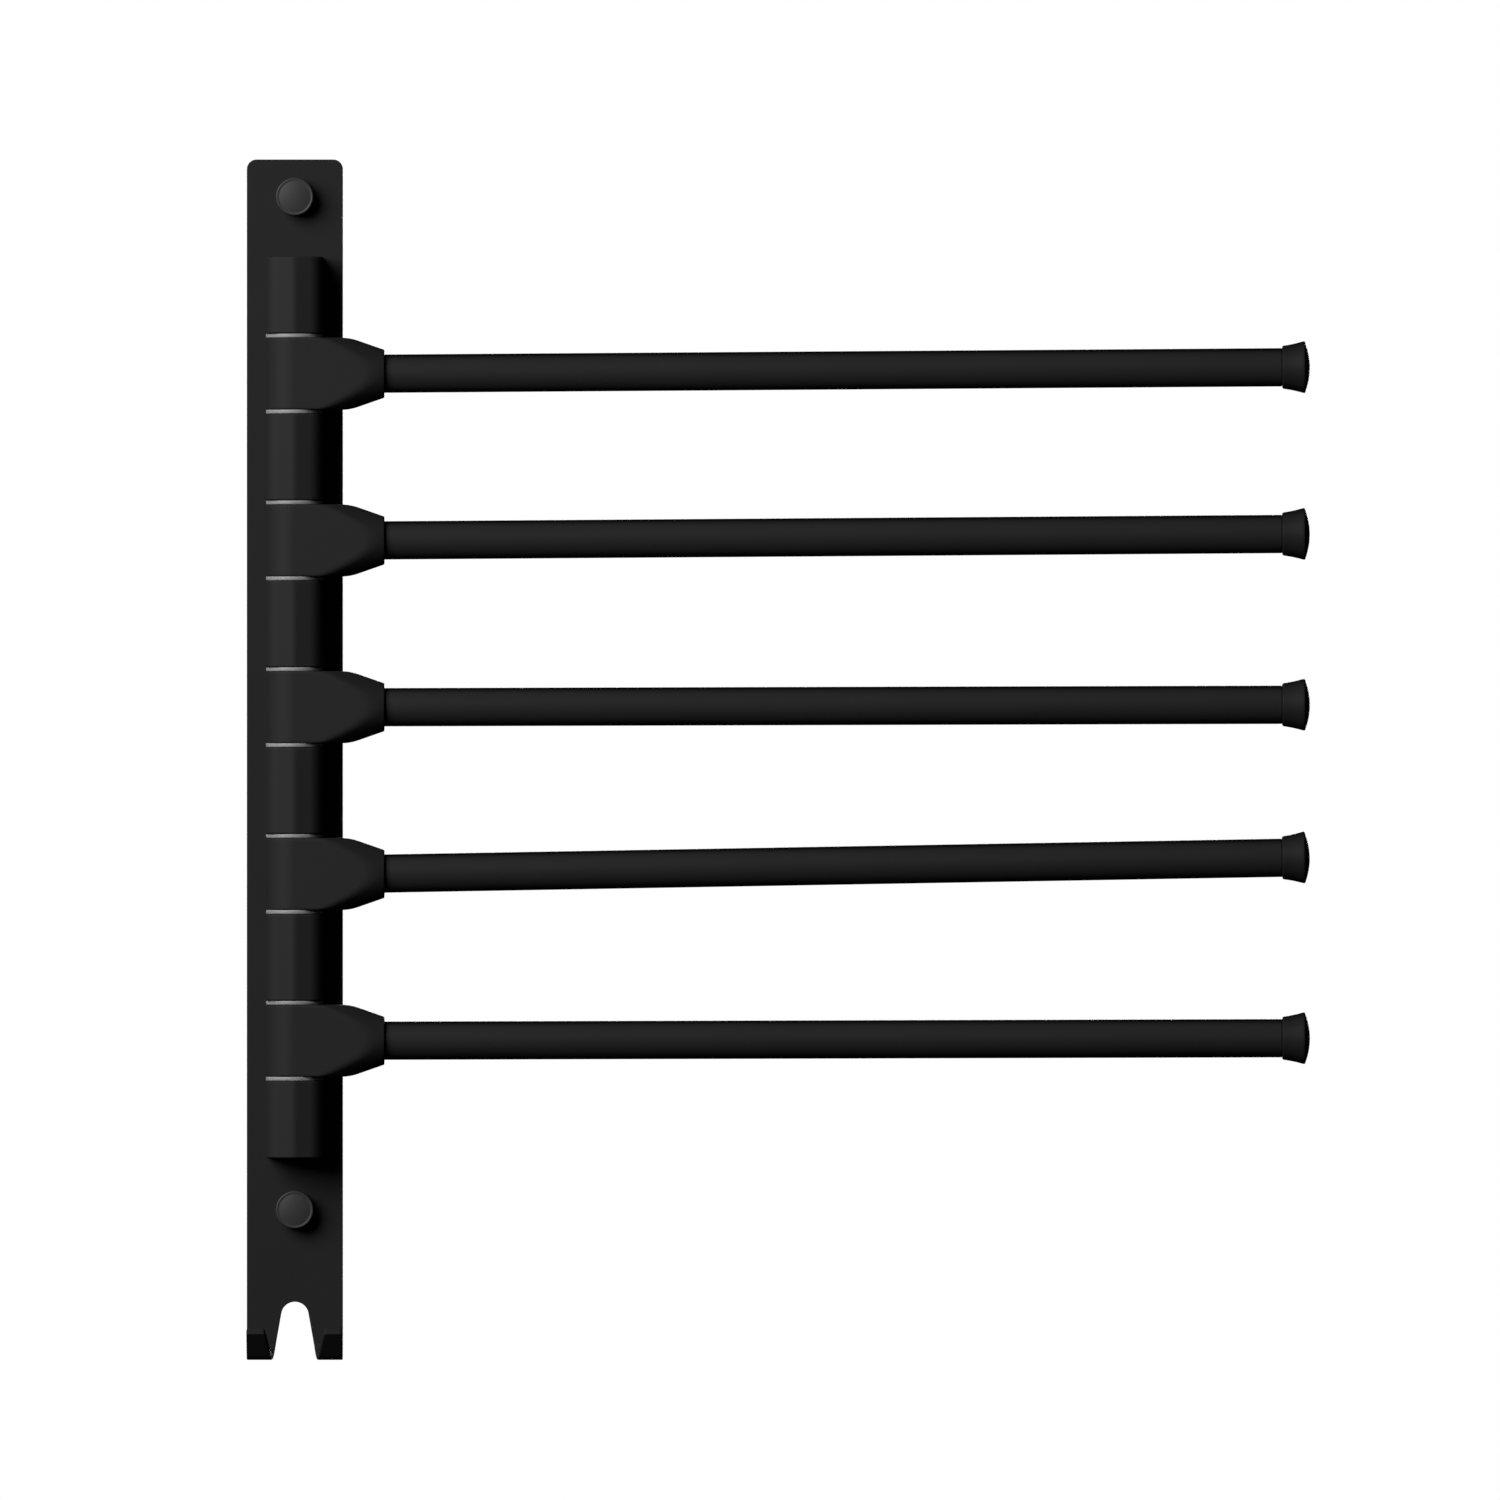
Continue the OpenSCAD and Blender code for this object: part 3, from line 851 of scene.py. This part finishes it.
def cap_profile(i, bar_r, sizes):
    """A cap's section from its plug to the dome, with a soft rim."""
    cap_r = half_size(f"end_cap_{i}").y
    flare = sizes.cap_flare_length
    collar = bar_r + sizes.cap_step
    plug = bar_r - sizes.bar_wall
    lead = 0.6 * MM
    dome_r = (cap_r ** 2 + sizes.cap_dome ** 2) / (2 * sizes.cap_dome)
    rim = 0.45 * MM
    profile = [(0, -sizes.plug), (plug - lead, -sizes.plug), (plug, lead - sizes.plug),
               (plug, 0), (collar - sizes.cap_chamfer, 0)]
    profile += arc((collar - sizes.cap_chamfer, sizes.cap_chamfer),
                   sizes.cap_chamfer, -pi / 2, 0, 6)[1:]
    run = flare - rim - sizes.cap_chamfer
    hollow = 0.12 * MM
    for k in range(1, 10):
        t = k / 10
        profile.append((
            collar + (cap_r - collar) * t - hollow * 4 * t * (1 - t),
            sizes.cap_chamfer + run * t))
    top = flare + sizes.cap_dome
    edge_angle = asin((cap_r - rim) / dome_r)
    meet = top - dome_r + dome_r * cos(edge_angle)
    profile += arc((cap_r - rim, meet - rim), rim, 0, pi / 2 - edge_angle, 6)
    for k in range(1, 21):
        angle = edge_angle * (1 - k / 20)
        profile.append((dome_r * sin(angle), top - dome_r + dome_r * cos(angle)))
    return profile


class RACK_OT_screw_covers(bpy.types.Operator):
    """Turn the hollow covers over the wall screws"""
    bl_idname = "towel_rack.screw_covers"
    bl_label = "Screw Covers"

    def execute(self, context):
        sizes = context.scene.rack_sizes
        for name in ("screw_cover_upper", "screw_cover_lower"):
            low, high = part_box(name)
            bm = turned(cover_profile(high.x, high.y - low.y, sizes), False)
            bmesh.ops.transform(
                bm, verts=bm.verts,
                matrix=Matrix.Translation((0, high.y, middle(name).z)) @ Z_TO_FRONT)
            finished(bm, "rack_" + name, "cover_satin", "rack", [name])
        return {"FINISHED"}


def cover_profile(radius, height, sizes):
    """A cover's section, from the middle of its inside round to its face."""
    inner = radius - sizes.cover_wall
    bead = sizes.cover_chamfer
    foot = 0.12 * MM                   # chamfer round the open end
    rim = height - 0.38 * MM           # top of the bead round the face
    valley = radius - 1.9 * bead       # where the dome starts inside the bead
    profile = [
        (0, height - sizes.cover_wall), (inner, height - sizes.cover_wall),
        (inner, 0), (radius - foot, 0), (radius, foot)]
    profile += arc((radius - bead, rim - bead), bead, 0, 0.68 * pi, 12)
    dome_r = ((valley ** 2) + sizes.cover_dome ** 2) / (2 * sizes.cover_dome)
    for k in range(17):
        angle = asin(valley / dome_r) * (1 - k / 16)
        profile.append((
            dome_r * sin(angle), height - dome_r * (1 - cos(angle))))
    return profile


class RACK_OT_block_screws(bpy.types.Operator):
    """Turn the countersunk screws behind the plate, with hexagon sockets"""
    bl_idname = "towel_rack.block_screws"
    bl_label = "Block Screws"

    def execute(self, context):
        sizes = context.scene.rack_sizes
        low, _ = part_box("block_screws")
        screws = bmesh.new()
        for z in screw_heights():
            one = screw(-low.y, sizes)
            bmesh.ops.transform(
                one, matrix=Matrix.Translation((0, 0, z)) @ Z_TO_FRONT, verts=one.verts)
            mesh = bpy.data.meshes.new("screw")
            one.to_mesh(mesh)
            one.free()
            screws.from_mesh(mesh)
            bpy.data.meshes.remove(mesh)
        finished(screws, "rack_block_screws", "ground_steel", "rack",
                 ["block_screws"])
        return {"FINISHED"}


def screw(tip, sizes):
    """A countersunk screw about Z, from the face of its head up to its tip."""
    head_r, shank_r = sizes.screw_head / 2, sizes.screw / 2
    face = HEAD_RECESS
    edge = 0.1 * MM
    lead = 0.5 * MM
    hex_r = sizes.hex_socket / 2
    depth = 1.3 * MM
    bm = turned([
        (head_r - edge, face), (head_r, face + edge),
        (shank_r, face + head_r - shank_r), (shank_r, tip - lead),
        (shank_r - lead, tip), (0, tip)], False, FINE)
    rim = [e for e in bm.edges if e.is_boundary]
    mouth = ring(bm, hex_r, Matrix.Translation((0, 0, face)), 6)
    foot = ring(bm, hex_r, Matrix.Translation((0, 0, face + depth)), 6)
    bmesh.ops.bridge_loops(bm, edges=mouth + foot)
    bmesh.ops.contextual_create(bm, geom=foot)
    bmesh.ops.triangle_fill(bm, use_beauty=True, use_dissolve=False, edges=rim + mouth)
    return bm


class RACK_OT_inner_parts(bpy.types.Operator):
    """Give the rod and the cover seats their steel finish"""
    bl_idname = "towel_rack.inner_parts"
    bl_label = "Rod and Seats"

    def execute(self, context):
        steel = bpy.data.materials["ground_steel"]
        for name in ("pivot_rod", "cover_seat_upper", "cover_seat_lower"):
            part = frame["nodes"][name]
            if not part.material_slots:
                part.data.materials.append(None)
            for place in part.material_slots:
                place.link = "OBJECT"
                place.material = steel
        return {"FINISHED"}


# ---------------------------------------------------------------- the stage

class RACK_OT_stage(bpy.types.Operator):
    """Set the camera, the lights and the floor"""
    bl_idname = "towel_rack.stage"
    bl_label = "Stage"

    def execute(self, context):
        stage = context.scene.rack_stage
        scene = context.scene
        scene.view_settings.view_transform = "Standard"
        lens = bpy.data.cameras.new("front_camera")
        lens.sensor_width = 36
        lens.lens = 36 * stage.distance / stage.view_width
        lens.clip_start, lens.clip_end = 0.05, 50
        camera = bpy.data.objects.new("front_camera", lens)
        scene.collection.objects.link(camera)
        camera.location = Vector(stage.centre) - Vector((0, stage.distance, 0))
        camera.rotation_euler = (pi / 2, 0, 0)
        scene.camera = camera
        light_world(scene, stage.fill)
        aim = Vector((0.12, 0, 0))
        # name, degrees to the right and up, distance, width, height and power
        soft_light(scene, "key_light", aim, -43, 24, 2, 1.4, 1.3, stage.key_power)
        soft_light(scene, "back_light", aim, 180, 4, 4, 2.0, 0.6, stage.back_power)
        pale_floor(scene, PLATE_LOW.z - stage.floor_drop)
        return {"FINISHED"}


def pale_floor(scene, height):
    """A wide pale floor, seen but throwing no light up on the rack."""
    bm = bmesh.new()
    bmesh.ops.create_grid(bm, x_segments=1, y_segments=1, size=2)
    bmesh.ops.translate(bm, verts=bm.verts, vec=(0, 0, height))
    mesh = bpy.data.meshes.new("floor")
    bm.to_mesh(mesh)
    bm.free()
    floor = bpy.data.objects.new("floor", mesh)
    scene.collection.objects.link(floor)
    paint = bpy.data.materials.new("floor_paint")
    paint.use_nodes = True
    shader = paint.node_tree.nodes["Principled BSDF"]
    shader.inputs["Base Color"].default_value = (0.8, 0.8, 0.8, 1)
    shader.inputs["Roughness"].default_value = 0.9
    shader.inputs["Emission Color"].default_value = (1, 1, 1, 1)
    shader.inputs["Emission Strength"].default_value = 0.8
    mesh.materials.append(paint)
    floor.visible_diffuse = False
    floor.visible_glossy = False


def soft_light(scene, name, aim, turn, rise, distance, width, height, power):
    """A rectangular light at angles from straight in front, facing the rack."""
    lamp = bpy.data.lights.new(name, "AREA")
    lamp.shape = "RECTANGLE"
    lamp.size, lamp.size_y = width, height
    lamp.energy = power
    light = bpy.data.objects.new(name, lamp)
    scene.collection.objects.link(light)
    turn, rise = radians(turn), radians(rise)
    towards = Vector((sin(turn) * cos(rise), -cos(turn) * cos(rise), sin(rise)))
    light.location = aim + towards * distance
    light.rotation_euler = towards.to_track_quat("Z", "Y").to_euler()


def light_world(scene, fill):
    """White behind the rack, and a faint even light on it."""
    world = bpy.data.worlds.new("studio")
    world.use_nodes = True
    tree = world.node_tree
    tree.nodes.clear()
    seen = node(tree, "Background", {"Color": (1, 1, 1, 1), "Strength": 1.0})
    cast = node(tree, "Background", {"Color": (1, 1, 1, 1), "Strength": fill})
    path = node(tree, "LightPath")
    mix = node(tree, "MixShader", {0: path.outputs["Is Camera Ray"]})
    tree.links.new(cast.outputs[0], mix.inputs[1])
    tree.links.new(seen.outputs[0], mix.inputs[2])
    end = tree.nodes.new("ShaderNodeOutputWorld")
    tree.links.new(mix.outputs[0], end.inputs["Surface"])
    scene.world = world


# ---------------------------------------------------------------- add-on

class RACK_PT_panel(bpy.types.Panel):
    """The rack's pieces, sizes and finishes in the sidebar"""
    bl_idname = "RACK_PT_panel"
    bl_label = "Swivel Towel Rack"
    bl_space_type = "VIEW_3D"
    bl_region_type = "UI"
    bl_category = "Towel Rack"

    def draw(self, context):
        layout = self.layout
        for step in STEPS:
            layout.operator(step.bl_idname)
        for title, settings in (
                ("Sizes", context.scene.rack_sizes),
                ("Finish", context.scene.rack_finish),
                ("Stage", context.scene.rack_stage)):
            box = layout.box()
            box.label(text=title)
            for name in settings.__annotations__:
                box.prop(settings, name)


STEPS = (
    RACK_OT_back_plate, RACK_OT_blocks, RACK_OT_hubs, RACK_OT_bushes,
    RACK_OT_bars, RACK_OT_end_caps, RACK_OT_screw_covers, RACK_OT_block_screws,
    RACK_OT_inner_parts, RACK_OT_stage,
)
SETTINGS = {
    "rack_sizes": RackSizes, "rack_finish": RackFinish, "rack_stage": RackStage,
}


def register():
    for cls in (*SETTINGS.values(), *STEPS, RACK_PT_panel):
        bpy.utils.register_class(cls)
    for name, cls in SETTINGS.items():
        setattr(bpy.types.Scene, name, PointerProperty(type=cls))


def unregister():
    for name in SETTINGS:
        delattr(bpy.types.Scene, name)
    for cls in reversed((*SETTINGS.values(), *STEPS, RACK_PT_panel)):
        bpy.utils.unregister_class(cls)


def main():
    register()
    make_materials(bpy.context.scene.rack_finish)
    for step in STEPS:
        area, action = step.bl_idname.split(".")
        getattr(getattr(bpy.ops, area), action)()


if __name__ == "__main__":
    main()
